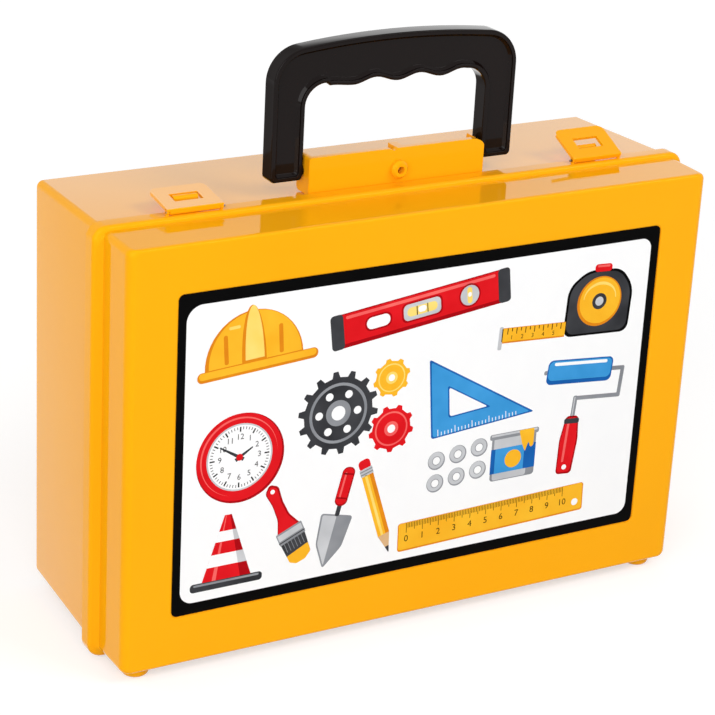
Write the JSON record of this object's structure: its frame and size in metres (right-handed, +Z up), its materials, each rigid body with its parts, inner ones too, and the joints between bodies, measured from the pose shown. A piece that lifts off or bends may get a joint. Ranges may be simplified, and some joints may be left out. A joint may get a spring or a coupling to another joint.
{
  "type": "toy tool case",
  "caption": "Toy carrying case: two moulded half shells on bottom hinge pins, flap latches, a folding grip in a screwed-on bracket, and a printed sheet on the face.",
  "frame": {"origin": "on the ground under the middle of the closed case", "axes": "+X to the right along the hinge, -Y out of the printed face, +Z up to the grip"},
  "size_m": [0.3322, 0.115, 0.3004],
  "materials": {
    "shell_yellow": "glossy moulded yellow",
    "grip_black": "glossy moulded black",
    "printed_sheet": "laminated print",
    "pin_steel": "plain zinc"
  },
  "bodies": {
    "base": {"base_shell": "shell_yellow", "handle_bracket": "shell_yellow", "bracket_screw": "pin_steel", "hinge_pin_left": "pin_steel", "hinge_pin_right": "pin_steel"},
    "lid": {"lid_shell": "shell_yellow", "label_sheet": "printed_sheet", "latch_pin_left": "pin_steel", "latch_pin_right": "pin_steel"},
    "latch_left": {"latch_left": "shell_yellow"},
    "latch_right": {"latch_right": "shell_yellow"},
    "handle": {"handle": "grip_black"}
  },
  "joints": [
    {"name": "lid_hinge", "type": "hinge", "parent": "base", "child": "lid", "pos_m": [0, -0.01975, 0.0036], "axis": [1, 0, 0], "range_deg": [0, 160]},
    {"name": "latch_left_hinge", "type": "hinge", "parent": "lid", "child": "latch_left", "pos_m": [-0.1132, -0.0254, 0.2281], "axis": [1, 0, 0], "range_deg": [-8, 85]},
    {"name": "latch_right_hinge", "type": "hinge", "parent": "lid", "child": "latch_right", "pos_m": [0.1132, -0.0254, 0.2281], "axis": [1, 0, 0], "range_deg": [-24, 69]},
    {"name": "handle_pivot", "type": "hinge", "parent": "base", "child": "handle", "pos_m": [0, -0.0107, 0.2357], "axis": [1, 0, 0], "range_deg": [-93, 95]}
  ]
}
